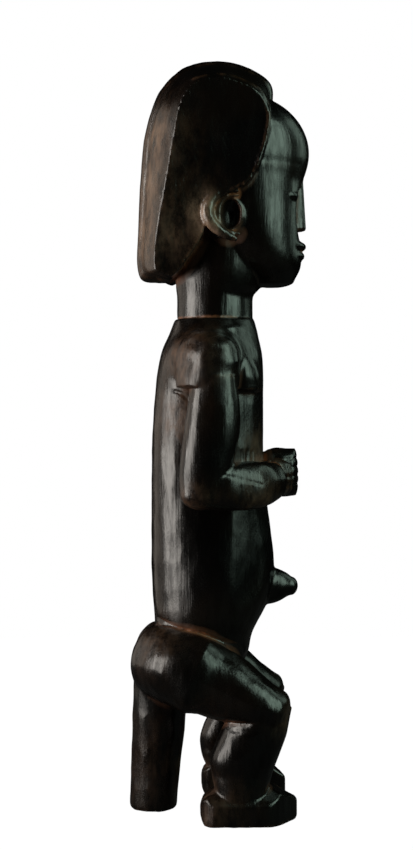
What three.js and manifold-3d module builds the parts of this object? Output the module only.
// A standing reliquary guardian figure, carved from one block of dark wood:
// a long columnar body on short bent legs, a big head under a crested coiffure,
// hands joined before the belly, and the round post behind that held it on its box.
// Millimetres, +Z up, the figure faces -Y. The origin is under the middle of its base.
import * as THREE from "three";
import { LoftGeometry } from "three/addons/geometries/LoftGeometry.js";
import { mergeVertices } from "three/addons/utils/BufferGeometryUtils.js";
import Module from "manifold-3d";

// Driving sizes, in millimetres
const HEIGHT = 500;
const SHOULDER_WIDTH = 146;
const HIP_WIDTH = 118;
const TORSO_WIDTH = 78;
const HEAD_WIDTH = 78;
const COIFFURE_WIDTH = 84;
const CREST_WIDTH = 18;
const POST_DIAMETER = 32;
const FOOT_LENGTH = 64;
const FOOT_WIDTH = 32;
const FOOT_SPACING = 92;
const KNEE_SPACING = 88;
const ELBOW_SPACING = 118;
const WRIST_SPACING = 58;
const NAVEL_LENGTH = 19;
const WOOD_COLOUR = 0x2a1a12;

// The carving keeps its proportions as shares of the height, in percent: a point is
// [side, front, up], with side to the figure's left and front measured from the origin.
const UNIT = HEIGHT / 100;
const share = (millimetres) => millimetres / UNIT;
const at = (side, front, up) =>
  new THREE.Vector3(side * UNIT, -front * UNIT, up * UNIT);

// Fineness of the facets
const BODY_SEGMENTS = 24;
const LIMB_SEGMENTS = 16;
const RINGS_PER_SPAN = 1;
const DOME_RINGS = 3;
const DOME_END = 0.93; // share of a quarter turn at which a dome is closed flat

const wasm = await Module();
wasm.setup();

// A three.js geometry as a manifold-3d solid, for joining and cutting.
function solidOf(geometry) {
  const bare = new THREE.BufferGeometry();
  bare.setAttribute("position", geometry.getAttribute("position"));
  bare.setIndex(geometry.getIndex());
  const merged = mergeVertices(bare, 1e-4);
  const mesh = new wasm.Mesh({
    numProp: 3,
    vertProperties: merged.attributes.position.array,
    triVerts: new Uint32Array(merged.index.array),
  });
  mesh.merge();
  return new wasm.Manifold(mesh);
}

// A manifold-3d solid as a three.js geometry.
function geometryOf(solid) {
  const mesh = solid.getMesh();
  const stride = mesh.numProp;
  const position = new Float32Array(mesh.numVert * 3);
  for (let i = 0; i < mesh.numVert; i++) {
    position.set(
      mesh.vertProperties.subarray(i * stride, i * stride + 3),
      i * 3,
    );
  }
  const geometry = new THREE.BufferGeometry();
  geometry.setAttribute("position", new THREE.BufferAttribute(position, 3));
  geometry.setIndex(new THREE.BufferAttribute(new Uint32Array(mesh.triVerts), 1));
  geometry.computeVertexNormals();
  return geometry;
}

// A smooth curve through rows of three numbers, read at even steps from row to row.
const through = (rows) =>
  new THREE.CatmullRomCurve3(
    rows.map((row) => new THREE.Vector3(...row)),
    false,
    "catmullrom",
    0.5,
  );

// Where the slanted planes of a bevelled section cut its corners, as a share of its half size.
const BEVEL = 1.5;

// Points of a section round a centre: an ellipse at squareness 2, boxier up to 3, and above
// that a box whose corners are planed off, as a carver leaves a limb.
function section(centre, u, v, a, b, squareness, segments) {
  const bevel = THREE.MathUtils.clamp(squareness - 3, 0, 1);
  const points = [];
  for (let i = 0; i < segments; i++) {
    const angle = (i / segments) * 2 * Math.PI;
    const [c, s] = [Math.cos(angle), Math.sin(angle)];
    const [across, along] = [Math.abs(c), Math.abs(s)];
    const reach =
      (across ** squareness +
        along ** squareness +
        bevel * ((across + along) / BEVEL) ** squareness) **
      (-1 / squareness);
    points.push(
      centre
        .clone()
        .addScaledVector(u, a * UNIT * reach * c)
        .addScaledVector(v, b * UNIT * reach * s),
    );
  }
  return points;
}

// A closed carved form swept through stations [side, front, up, half width, half depth,
// squareness]. Its ends are flat, or domed over the lengths given, in percent of the height.
// A level form keeps its sections horizontal; any other has them square to its path.
function sweep(
  stations,
  { level = false, segments = LIMB_SEGMENTS, domes = [0, 0], fine = RINGS_PER_SPAN } = {},
) {
  const path = through(stations.map(([side, front, up]) => at(side, front, up).toArray()));
  const sizes = through(stations.map((station) => station.slice(3)));
  const steps = (stations.length - 1) * fine;
  const rings = [];
  const ring = (t, push, shrink) => {
    const tangent = level ? new THREE.Vector3(0, 0, 1) : path.getTangent(t);
    const u = new THREE.Vector3(1, 0, 0).addScaledVector(tangent, -tangent.x).normalize();
    const v = new THREE.Vector3().crossVectors(tangent, u);
    const centre = path.getPoint(t).addScaledVector(tangent, push * UNIT);
    const { x: a, y: b, z: squareness } = sizes.getPoint(t);
    rings.push(section(centre, u, v, a * shrink, b * shrink, squareness, segments));
  };
  const dome = (t, length, order) => {
    for (let i = 1; i <= DOME_RINGS; i++) {
      const step = order > 0 ? i : DOME_RINGS + 1 - i;
      const angle = ((step / DOME_RINGS) * DOME_END * Math.PI) / 2;
      ring(t, order * length * Math.sin(angle), Math.cos(angle));
    }
  };
  if (domes[0] > 0) dome(0, domes[0], -1);
  for (let i = 0; i <= steps; i++) ring(i / steps, 0, 1);
  if (domes[1] > 0) dome(1, domes[1], 1);
  return solidOf(new LoftGeometry(rings, { capStart: true, capEnd: true }));
}

// An egg of half sizes [side, front, up], in percent of the height.
function egg([side, front, up], [a, b, c], across = 16, down = 10) {
  const geometry = new THREE.SphereGeometry(1, across, down);
  geometry.rotateX(Math.PI / 2);
  geometry.scale(a * UNIT, b * UNIT, c * UNIT);
  const centre = at(side, front, up);
  geometry.translate(centre.x, centre.y, centre.z);
  return solidOf(geometry);
}

const union = (solids) => solids.reduce((all, solid) => all.add(solid));

// Torso: a column that swells at the belly and narrows hard at the waist.
const NECK_BASE = 65.4;
function torso() {
  const wide = share(TORSO_WIDTH) / 2;
  return sweep(
    [
      [0, -2.2, 18.6, wide * 0.66, 5.0, 2],
      [0, -2.1, 21.0, wide * 0.78, 6.0, 2],
      [0, -2.0, 23.6, wide * 0.88, 6.5, 2.2],
      [0, -1.45, 26.2, wide * 0.97, 7.3, 2.1],
      [0, -0.9, 29.6, wide, 8.05, 2.1],
      [0, -0.95, 34.0, wide, 8.15, 2.15],
      [0, -1.45, 40.5, wide * 0.97, 7.75, 2.4],
      [0, -1.6, 47.5, wide * 0.95, 7.4, 2.6],
      [0, -1.45, 54.5, wide, 7.3, 2.6],
      [0, -1.15, 59.8, wide * 1.05, 6.95, 2.4],
      [0, -0.9, 63.0, wide * 0.92, 6.05, 2.2],
      [0, -0.75, NECK_BASE, wide * 0.73, 5.3, 2],
    ],
    { level: true, segments: BODY_SEGMENTS, domes: [1.6, 0] },
  );
}

// Shoulder yoke: the swelling across the chest that carries both shoulder caps.
function yoke() {
  return egg([0, -1.1, 60.1], [14.0, 4.9, 4.2]);
}

// Chest plates whose lower edges show beside the arms.
function pectoral(sign) {
  return sweep(
    [
      [sign * 3.9, 2.3, 55.7, 3.6, 3.3, 3],
      [sign * 3.9, 2.3, 57.5, 3.9, 3.4, 3],
      [sign * 3.6, 1.2, 60.8, 3.4, 3.0, 2.4],
    ],
    { level: true, domes: [0.3, 1.6] },
  );
}

// Navel: a blunt cone that stands straight out of the belly.
function navel() {
  const root = 6.7;
  const length = share(NAVEL_LENGTH);
  const belly = 2;
  return sweep(
    [
      [0, root - belly, 29.7, 2.5, 2.55, 2],
      [0, root, 29.7, 2.4, 2.5, 2],
      [0, root + length * 0.5, 29.7, 1.85, 1.9, 2],
      [0, root + length * 0.8, 29.6, 1.25, 1.3, 2],
    ],
    { domes: [0, length * 0.2] },
  );
}

// Neck: a thick cylinder that widens a little under the jaw and the hair.
function neck() {
  return sweep(
    [
      [0, -0.7, NECK_BASE - 1.5, 5.4, 5.1, 2],
      [0, -0.66, 67.0, 5.3, 5.1, 2],
      [0, -0.6, 68.6, 5.3, 5.2, 2],
      [0, -0.2, 69.8, 5.5, 5.7, 2],
      [0, 0.1, 73.0, 5.9, 6.0, 2],
      [0, 0.2, 79.0, 6.0, 6.0, 2],
    ],
    { level: true, segments: 20 },
  );
}

// Face levels: the thirds that divide it from the hairline to the chin.
const CHIN = 69.6;
const HAIRLINE = 93;
const FACE_THIRD = (HAIRLINE - CHIN) / 3;
const NOSE_BASE = CHIN + FACE_THIRD;
const BROW = CHIN + 2 * FACE_THIRD;
const MOUTH = CHIN + (FACE_THIRD * 2) / 3;
const FACE_FRONT = 12;

// Head: a domed skull over a jaw that tapers forward, with one heart-shaped hollow for the
// face, in which stand a straight nose, half-closed eyes and the pushed-out lips.
function head() {
  const wide = share(HEAD_WIDTH) / 2;
  const skull = egg([0, 2.2, BROW + 2.3], [wide, FACE_FRONT - 2.2, 8.2], 22, 14);
  const jaw = sweep(
    [
      [0, 6.8, CHIN + 0.9, 2.9, 3.2, 2],
      [0, 5.6, CHIN + 3, wide * 0.68, 5.3, 2],
      [0, 4.3, NOSE_BASE - 1.4, wide * 0.84, 6.5, 2],
      [0, 3.3, NOSE_BASE + 3.4, wide * 0.92, 7.6, 2],
      [0, 2.6, BROW, wide * 0.96, 8.6, 2],
    ],
    { level: true, segments: 20, domes: [0.9, 0] },
  );
  const hollow = egg([0, 15.6, NOSE_BASE + 2.2], [7.1, 5.9, 6.7], 16, 12);
  const nose = sweep(
    [
      [0, 9.6, NOSE_BASE, 1.65, 2.0, 2.6],
      [0, 9.6, NOSE_BASE + 3.4, 1.05, 1.8, 2.4],
      [0, 9.8, BROW + 0.8, 0.8, 1.3, 2.2],
    ],
    { level: true, segments: 12, domes: [0.3, 0] },
  );
  const lips = [
    egg([0, 9.1, MOUTH + 0.25], [3.3, 2.5, 0.95], 14, 8),
    egg([0, 9.0, MOUTH - 1.0], [3.0, 2.4, 1.0], 14, 8),
  ];
  const eyes = [-1, 1].map((side) =>
    egg([side * 2.9, 9.15, NOSE_BASE + 4.1], [1.7, 1.25, 0.8], 12, 8),
  );
  return union([skull.add(jaw).subtract(hollow), nose, ...lips, ...eyes]);
}

// Ear: a thick C of a rim, open to the front, round a hollow, with a small lobe before it.
// Each row is a point of the rim, as front and up, and its thickness.
const EAR_RIM = [
  [2.7, 81.6, 0.36],
  [0.9, 81.9, 0.62],
  [-1.0, 81.1, 0.78],
  [-2.0, 79.2, 0.84],
  [-1.8, 77.5, 0.8],
  [-0.8, 76.3, 0.7],
  [0.5, 75.6, 0.56],
  [1.7, 75.1, 0.32],
];
function ear(sign) {
  const wide = share(HEAD_WIDTH) / 2;
  const rim = sweep(
    EAR_RIM.map(([front, up, thick]) => [sign * wide, front, up, thick, thick, 2]),
    { segments: 8 },
  );
  return egg([sign * wide * 0.7, 1.0, 78.7], [2.5, 2.9, 3.2], 14, 10)
    .add(rim)
    .subtract(egg([sign * (wide + 0.5), 1.25, 78.6], [1.7, 1.5, 2.1], 12, 8))
    .add(egg([sign * wide * 0.9, 2.9, 78.7], [0.8, 0.7, 1.2], 8, 6));
}

// Coiffure, drawn from the side: each row is a point of the flat cheek of the hair, then the
// matching point on the ridge over the middle, as front and up.
const HAIR_OUTLINE = [
  [4.8, 84.6, 4.8, 84.6],
  [6.0, 88.4, 6.0, 88.4],
  [6.8, 92.4, 7.1, 94.2],
  [5.2, 94.9, 6.9, 96.9],
  [2.3, 96.4, 3.8, 99.1],
  [-0.6, 96.9, -0.4, 100.0],
  [-3.6, 96.1, -5.0, 98.9],
  [-5.4, 93.4, -8.2, 95.6],
  [-6.7, 88.2, -9.9, 90.5],
  [-7.7, 83.0, -10.6, 84.5],
  [-8.5, 77.0, -10.95, 77.0],
  [-8.9, 71.9, -11.05, 72.3],
  [-8.7, 70.6, -10.5, 70.6],
  [-7.9, 70.3, -8.9, 70.2],
  [-6.4, 70.5, -6.4, 70.5],
  [-4.2, 72.9, -4.2, 72.9],
  [-2.4, 75.6, -2.4, 75.6],
  [-1.2, 79.4, -1.2, 79.4],
  [1.2, 81.3, 1.2, 81.3],
  [3.6, 82.6, 3.6, 82.6],
];
const CREST_RISE = 0.75;

// The half width of the hair at a level: it narrows towards the nape.
function hairHalfWidth(up) {
  const nape = THREE.MathUtils.smoothstep(up, 68, 84);
  return (share(COIFFURE_WIDTH) / 2) * (0.86 + 0.14 * nape);
}

// One slice of the hair, at a share of its half width from the middle.
function hairSlice(across, ridge, lift) {
  const rows = HAIR_OUTLINE.map(([front, up, ridgeFront, ridgeUp]) => {
    const f = THREE.MathUtils.lerp(front, ridgeFront, ridge);
    const z = THREE.MathUtils.lerp(up, ridgeUp, ridge);
    const outward = new THREE.Vector2(f + 2, z - 84).normalize();
    const proud = ridgeFront === front && ridgeUp === up ? 0 : lift;
    return [f + outward.x * proud, z + outward.y * proud, 0];
  });
  const curve = new THREE.CatmullRomCurve3(
    rows.map((row) => new THREE.Vector3(...row)),
    true,
    "centripetal",
  );
  return curve
    .getPoints(HAIR_OUTLINE.length * 2)
    .slice(0, -1)
    .map(({ x, y }) => at(across * hairHalfWidth(y), x, y));
}

function coiffure() {
  const slices = [];
  const count = 6;
  for (let i = 0; i <= count; i++) {
    const across = 1 - (2 * i) / count;
    slices.push(hairSlice(across, 1 - across * across, -CREST_RISE));
  }
  const cap = solidOf(new LoftGeometry(slices, { capStart: true, capEnd: true }));
  const half = CREST_WIDTH / COIFFURE_WIDTH;
  const band = [half, half * 0.7, 0, half * -0.7, -half].map((across) =>
    hairSlice(across, 1 - across * across, -0.45 * (across / half) ** 2),
  );
  const crest = solidOf(new LoftGeometry(band, { capStart: true, capEnd: true }));
  return cap.add(crest);
}

// Arm: a drum-like shoulder cap with a sharp lower edge, an upper arm that hangs free of the
// side, and a forearm that turns in to the hands. Its left wrist is carved a little higher.
function arm(sign, rise) {
  const elbow = share(ELBOW_SPACING) / 2;
  const wrist = share(WRIST_SPACING) / 2;
  const capCentre = share(SHOULDER_WIDTH) / 2 - 4.0;
  const cap = sweep(
    [
      [sign * (capCentre - 0.1), -1.7, 55.5, 3.95, 4.3, 5],
      [sign * capCentre, -1.7, 57.5, 4.0, 4.4, 4.5],
      [sign * (capCentre - 0.5), -1.5, 60.3, 3.9, 4.1, 3],
    ],
    { level: true, domes: [0.3, 2.6] },
  );
  const upper = sweep(
    [
      [sign * elbow, -2.1, 42.4, 2.6, 3.1, 5],
      [sign * elbow, -1.8, 45.5, 2.75, 3.4, 6],
      [sign * elbow, -0.95, 51.5, 2.85, 3.55, 6],
      [sign * (elbow - 0.1), -0.5, 57.5, 2.85, 3.3, 5],
    ],
    { level: true, domes: [2.1, 0] },
  );
  const fore = sweep(
    [
      [sign * elbow, -2.2, 43.3, 2.5, 3.0, 4],
      [sign * (elbow - 0.5), 0.9, 43.3, 2.55, 3.1, 5],
      [sign * (elbow * 0.45 + wrist * 0.55 + 0.7), 4.6, 43.5 + rise * 0.5, 2.4, 3.05, 5],
      [sign * wrist, 7.0, 43.9 + rise, 2.1, 2.6, 4],
    ],
    { domes: [2.0, 0.5] },
  );
  return union([cap, upper, fore]);
}

// Hands: two closed fists, one against the other, the left one taller and further out.
function hands() {
  const root = share(WRIST_SPACING) / 2 - 0.6;
  const knuckle = root / 2;
  const right = sweep(
    [
      [-root, 6.7, 44.1, 1.9, 2.5, 2.4],
      [-knuckle, 7.4, 44.2, knuckle + 0.1, 2.4, 2.8],
      [0.5 - knuckle, 8.6, 44.2, knuckle - 0.1, 2.2, 3],
    ],
    { domes: [0, 0.5] },
  );
  const left = sweep(
    [
      [root, 6.8, 45.2, 1.9, 2.8, 2.4],
      [knuckle, 8.2, 44.85, knuckle + 0.2, 3.3, 3],
      [knuckle - 0.5, 10.2, 44.85, knuckle - 0.1, 3.35, 4],
    ],
    { domes: [0, 0.45] },
  );
  return right.add(left);
}

// Seat and thigh: one mass from the round buttock forward to the knee. The left knee sits a
// little lower than the right.
function thigh(sign, drop) {
  const hip = share(HIP_WIDTH) / 2 - 5.4;
  const knee = share(KNEE_SPACING) / 2;
  return sweep(
    [
      [sign * (hip - 2.0), -8.4, 20.0, 4.4, 4.6, 2],
      [sign * (hip - 0.6), -6.0, 19.7, 5.4, 5.0, 2],
      [sign * (hip + 0.5), -3.0, 18.75, 5.3, 5.0, 2.6],
      [sign * (knee - 1.2), 0.8, 17.2 - drop * 0.5, 5.0, 4.6, 5],
      [sign * (knee - 0.2), 4.3, 15.6 - drop, 4.5, 3.5, 6],
      [sign * knee, 7.0, 14.5 - drop, 4.0, 2.8, 5],
    ],
    { domes: [3.1, 1.9] },
  );
}

// Hip: the broad round of the seat, which carries the buttock and the thigh.
function hip(sign) {
  const half = 8.6;
  return egg([sign * (share(HIP_WIDTH) / 2 - half), -5.0, 19.75], [half, 6.4, 5.2], 18, 10);
}

// The plain rounding between the thighs, under the belly.
function fork() {
  return egg([0, -3.2, 19.4], [6.4, 6.6, 3.6]);
}

// Lower leg: heavy, with the calf pulled back and the shin straight down from the knee. The
// left calf is carved a little deeper than the right.
function lowerLeg(sign, deeper) {
  const knee = share(KNEE_SPACING) / 2;
  const ankle = share(FOOT_SPACING) / 2;
  return sweep(
    [
      [sign * ankle, 2.9, 1.4, 2.8, 3.4, 3],
      [sign * (ankle - 0.1), 2.75 - deeper * 0.35, 4.6, 2.9, 3.7 + deeper * 0.35, 3],
      [sign * (knee + 0.1), 2.7 - deeper * 0.55, 6.4, 3.5, 4.05 + deeper * 0.5, 3.5],
      [sign * knee, 3.0 - deeper * 0.55, 8.2, 3.75, 4.35 + deeper * 0.5, 5],
      [sign * knee, 4.3 - deeper * 0.8, 11.4, 3.65, 4.3 + deeper * 0.7, 5],
      [sign * knee, 5.3, 14.8, 3.6, 4.1, 4],
    ],
    { level: true },
  );
}

// Foot: a thick slab, cut aslant across the toes, whose instep climbs to the ankle. It is
// the common part of three outlines: seen from above, from the side and from the front.
function foot(sign, length) {
  const heel = -2.6;
  const toe = heel + length;
  const half = share(FOOT_WIDTH) / 2;
  const middle = share(FOOT_SPACING) / 2;
  const thick = 2;
  const edge = 2.9;
  const instep = 4.9;
  const above = new THREE.Shape();
  above.moveTo(-half + 0.3, heel + 1.6);
  above.bezierCurveTo(-half + 0.7, heel - 0.5, half - 0.7, heel - 0.5, half, heel + 1.9);
  above.lineTo(half, toe - 4.8);
  above.quadraticCurveTo(half, toe - 3.6, half - 1.1, toe - 2.7);
  above.lineTo(-half + 1.3, toe - 0.3);
  above.quadraticCurveTo(-half, toe + 0.3, -half, toe - 1.2);
  above.closePath();
  const aside = new THREE.Shape();
  aside.moveTo(heel + 0.6, 0);
  aside.quadraticCurveTo(heel - 0.5, thick * 0.6, heel + 0.15, thick * 1.1);
  aside.quadraticCurveTo(heel + 0.6, thick * 1.4, heel + 2.1, thick * 1.6);
  aside.lineTo(heel + 8.8, instep);
  aside.lineTo(toe - 1.1, 3.3);
  aside.quadraticCurveTo(toe + 0.1, 2.8, toe, thick);
  aside.lineTo(toe - 0.1, 0.5);
  aside.lineTo(toe - 0.5, 0);
  aside.closePath();
  const ahead = new THREE.Shape();
  ahead.moveTo(-half, 0);
  ahead.lineTo(half - 0.2, 0);
  ahead.lineTo(half, 0.4);
  ahead.lineTo(half, edge - 0.2);
  ahead.quadraticCurveTo(half - 0.1, edge + 0.3, half - 0.7, edge + 0.8);
  ahead.lineTo(0.4, instep);
  ahead.lineTo(-half, instep);
  ahead.closePath();
  const [side, front, up] = [
    new THREE.Vector3(sign * UNIT, 0, 0),
    new THREE.Vector3(0, -UNIT, 0),
    new THREE.Vector3(0, 0, UNIT),
  ];
  const outlines = [
    [above, side, front, up, 0, instep],
    [aside, front, up, side, -half, half],
    [ahead, side, up, front, heel - 1, toe + 1],
  ];
  return outlines
    .map(([shape, along, across, through, from, to]) => {
      const slab = new THREE.ExtrudeGeometry(shape, {
        depth: to - from,
        bevelEnabled: false,
        curveSegments: 4,
      });
      const frame = new THREE.Matrix4().makeBasis(along, across, through);
      frame.setPosition(
        new THREE.Vector3(sign * middle * UNIT, 0, 0).addScaledVector(through, from),
      );
      slab.applyMatrix4(frame);
      if (frame.determinant() < 0) turnInsideOut(slab);
      return solidOf(slab);
    })
    .reduce((all, slab) => all.intersect(slab));
}

// A mirrored geometry has its faces turned inwards; this turns them back.
function turnInsideOut(geometry) {
  const p = geometry.getAttribute("position");
  const [b, c] = [new THREE.Vector3(), new THREE.Vector3()];
  for (let i = 0; i < p.count; i += 3) {
    b.fromBufferAttribute(p, i + 1);
    c.fromBufferAttribute(p, i + 2);
    p.setXYZ(i + 1, c.x, c.y, c.z);
    p.setXYZ(i + 2, b.x, b.y, b.z);
  }
}

// Post: the round stake under the seat, a little thicker where it leaves the buttocks.
function post() {
  const radius = share(POST_DIAMETER) / 2;
  return sweep(
    [
      [0, -8.8, 0, radius * 1.16, radius * 0.93, 2.1],
      [0, -8.75, 1, radius * 1.2, radius * 0.99, 2.1],
      [0, -8.55, 6, radius * 1.2, radius * 1.02, 2.1],
      [0, -8.2, 11.5, radius * 1.25, radius * 1.1, 2.1],
      [0, -7.9, 19, radius * 1.3, radius * 1.15, 2.1],
    ],
    { level: true, segments: 28 },
  );
}

const LEFT = 1;
const RIGHT = -1;
const figure = union([
  torso(),
  yoke(),
  pectoral(LEFT),
  pectoral(RIGHT),
  navel(),
  neck(),
  head(),
  ear(LEFT),
  ear(RIGHT),
  coiffure(),
  arm(LEFT, 1.4),
  arm(RIGHT, 0),
  hands(),
  thigh(LEFT, 0.5),
  thigh(RIGHT, 0),
  hip(LEFT),
  hip(RIGHT),
  fork(),
  lowerLeg(LEFT, 1.1),
  lowerLeg(RIGHT, 0),
  foot(LEFT, share(FOOT_LENGTH) - 0.9),
  foot(RIGHT, share(FOOT_LENGTH)),
  post(),
]);

const guardian = new THREE.Mesh(
  geometryOf(figure),
  new THREE.MeshStandardMaterial({
    color: WOOD_COLOUR,
    roughness: 0.35,
    metalness: 0,
  }),
);
guardian.name = "guardian_figure";

const model = new THREE.Group();
model.add(guardian);
export default model;
